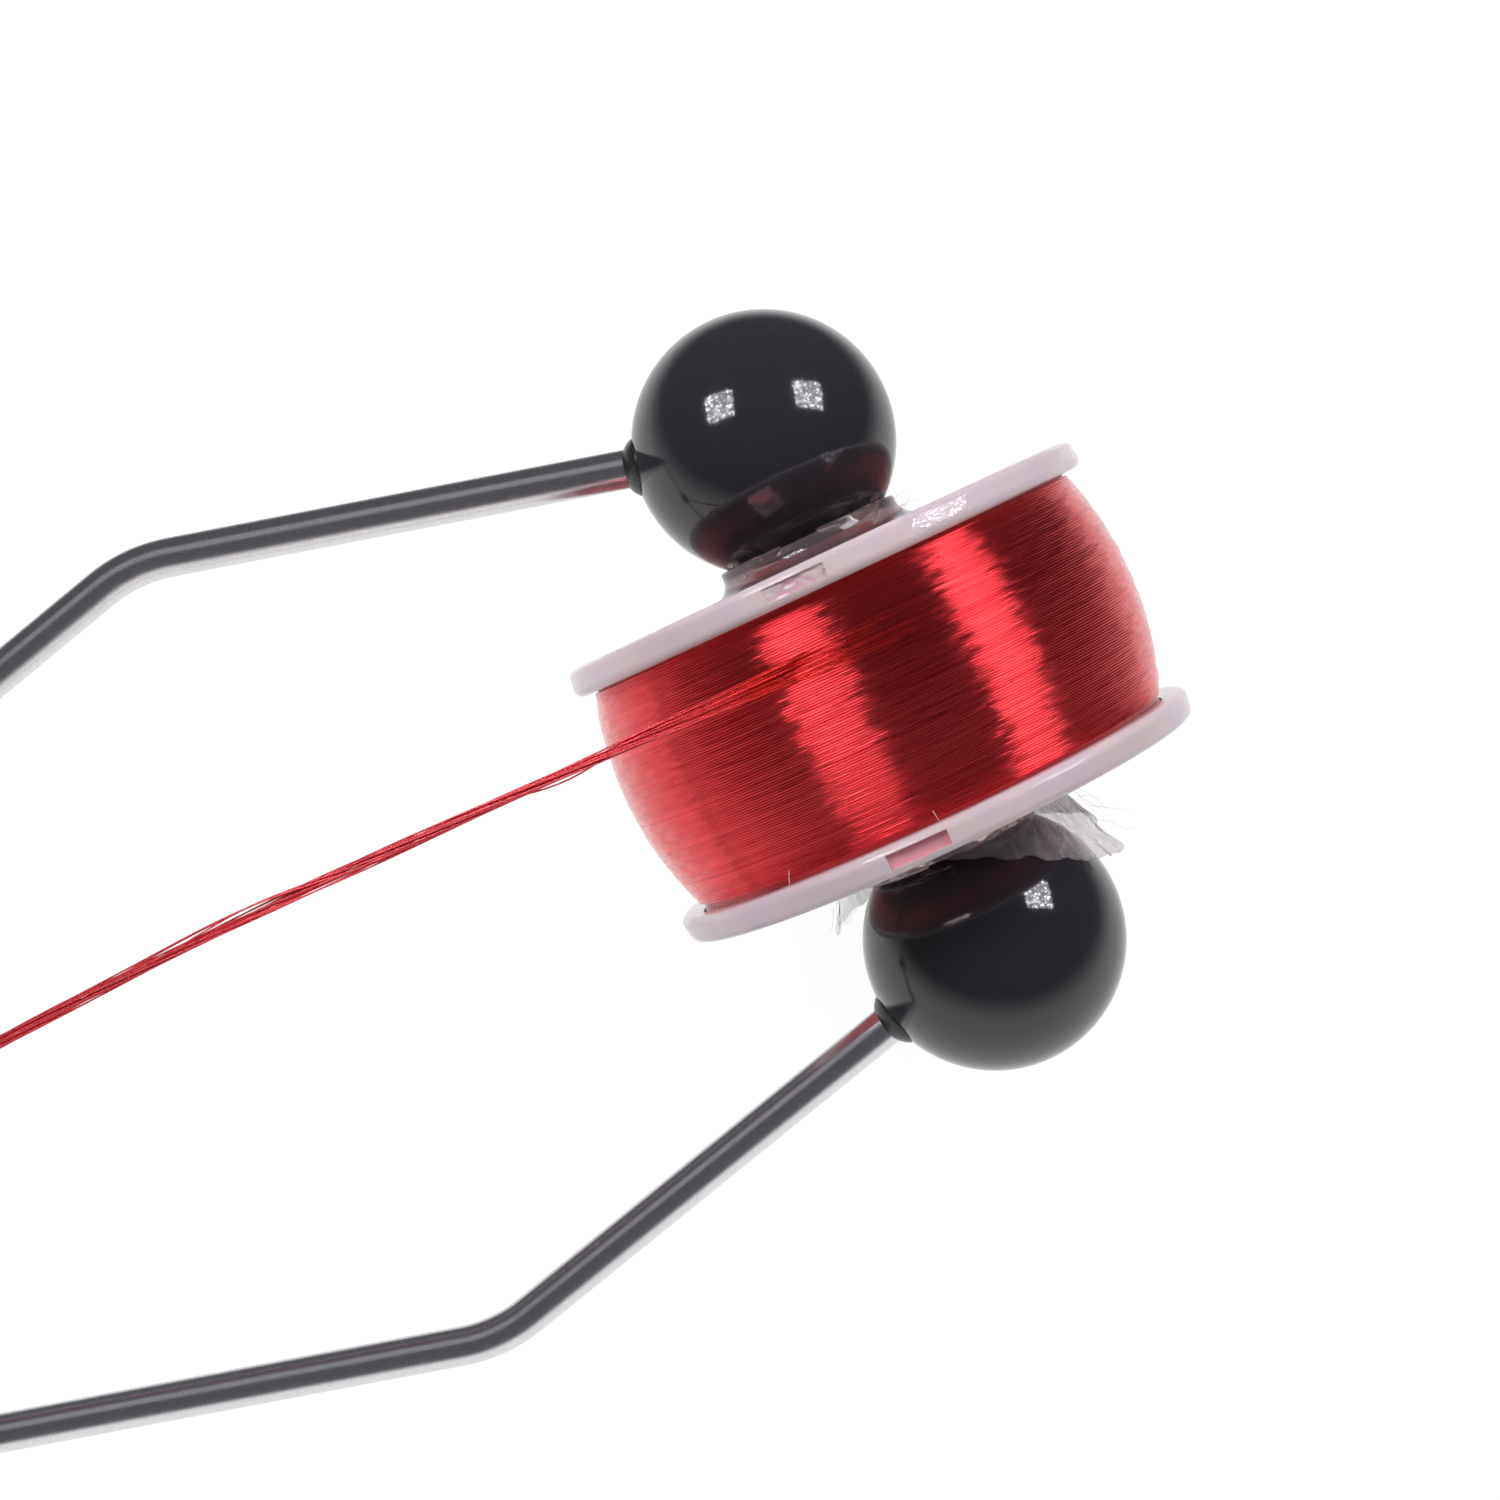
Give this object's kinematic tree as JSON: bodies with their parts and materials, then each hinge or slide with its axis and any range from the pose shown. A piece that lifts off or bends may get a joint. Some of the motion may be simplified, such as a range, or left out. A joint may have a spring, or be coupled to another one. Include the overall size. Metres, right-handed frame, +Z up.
{
  "type": "fly tying bobbin holder",
  "caption": "Wishbone bobbin holder for fly tying: spring wire arms with ball feet clamp a spool of red thread that feeds through a slim barrel.",
  "frame": {"origin": "on the table, under the middle of the object's box", "axes": "+X along the barrel to the tip, seen from above; +Y along the spool's axis to the left arm; +Z up"},
  "size_m": [0.1376, 0.0404, 0.0252],
  "materials": {
    "gunmetal_wire": "black nickel plate, glossy",
    "black_ball": "polished",
    "adhesive": "glossy, cured",
    "yoke_metal": "black nickel plate, turned",
    "barrel_steel": "drawn and polished",
    "ceramic": "polished ceramic",
    "spool_plastic": "translucent, moulded",
    "red_thread": "shiny flat multifilament",
    "label_film": "torn film and paper fibre"
  },
  "bodies": {
    "barrel": {"barrel_tube": "barrel_steel", "tip_ring": "ceramic", "rear_ring": "ceramic", "yoke": "yoke_metal", "left_arm_tang": "gunmetal_wire", "right_arm_tang": "gunmetal_wire", "thread_lead": "red_thread"},
    "left_arm": {"left_arm_wire": "gunmetal_wire", "left_ball": "black_ball", "left_glue_bead": "adhesive"},
    "right_arm": {"right_arm_wire": "gunmetal_wire", "right_ball": "black_ball", "right_glue_bead": "adhesive"},
    "spool": {"spool_half_left": "spool_plastic", "spool_half_right": "spool_plastic", "thread_core": "red_thread", "thread_turns": "red_thread", "torn_label": "label_film"}
  },
  "joints": [
    {"name": "spool_spin", "type": "hinge", "parent": "barrel", "child": "spool", "pos_m": [-0.05149, 0, 0.0126], "axis": [0, 1, 0], "continuous": true},
    {"name": "left_arm_flex", "type": "hinge", "parent": "barrel", "child": "left_arm", "pos_m": [0.01939, 0.00275, 0.00576], "axis": [-0.0961, 0, -0.9954], "range_deg": [0, 7], "stiffness_Nm_per_rad": 3.9, "springref_deg": -1.72},
    {"name": "right_arm_flex", "type": "hinge", "parent": "barrel", "child": "right_arm", "pos_m": [0.01939, -0.00275, 0.00576], "axis": [0.0961, 0, 0.9954], "range_deg": [0, 7], "stiffness_Nm_per_rad": 3.9, "springref_deg": -1.72}
  ]
}
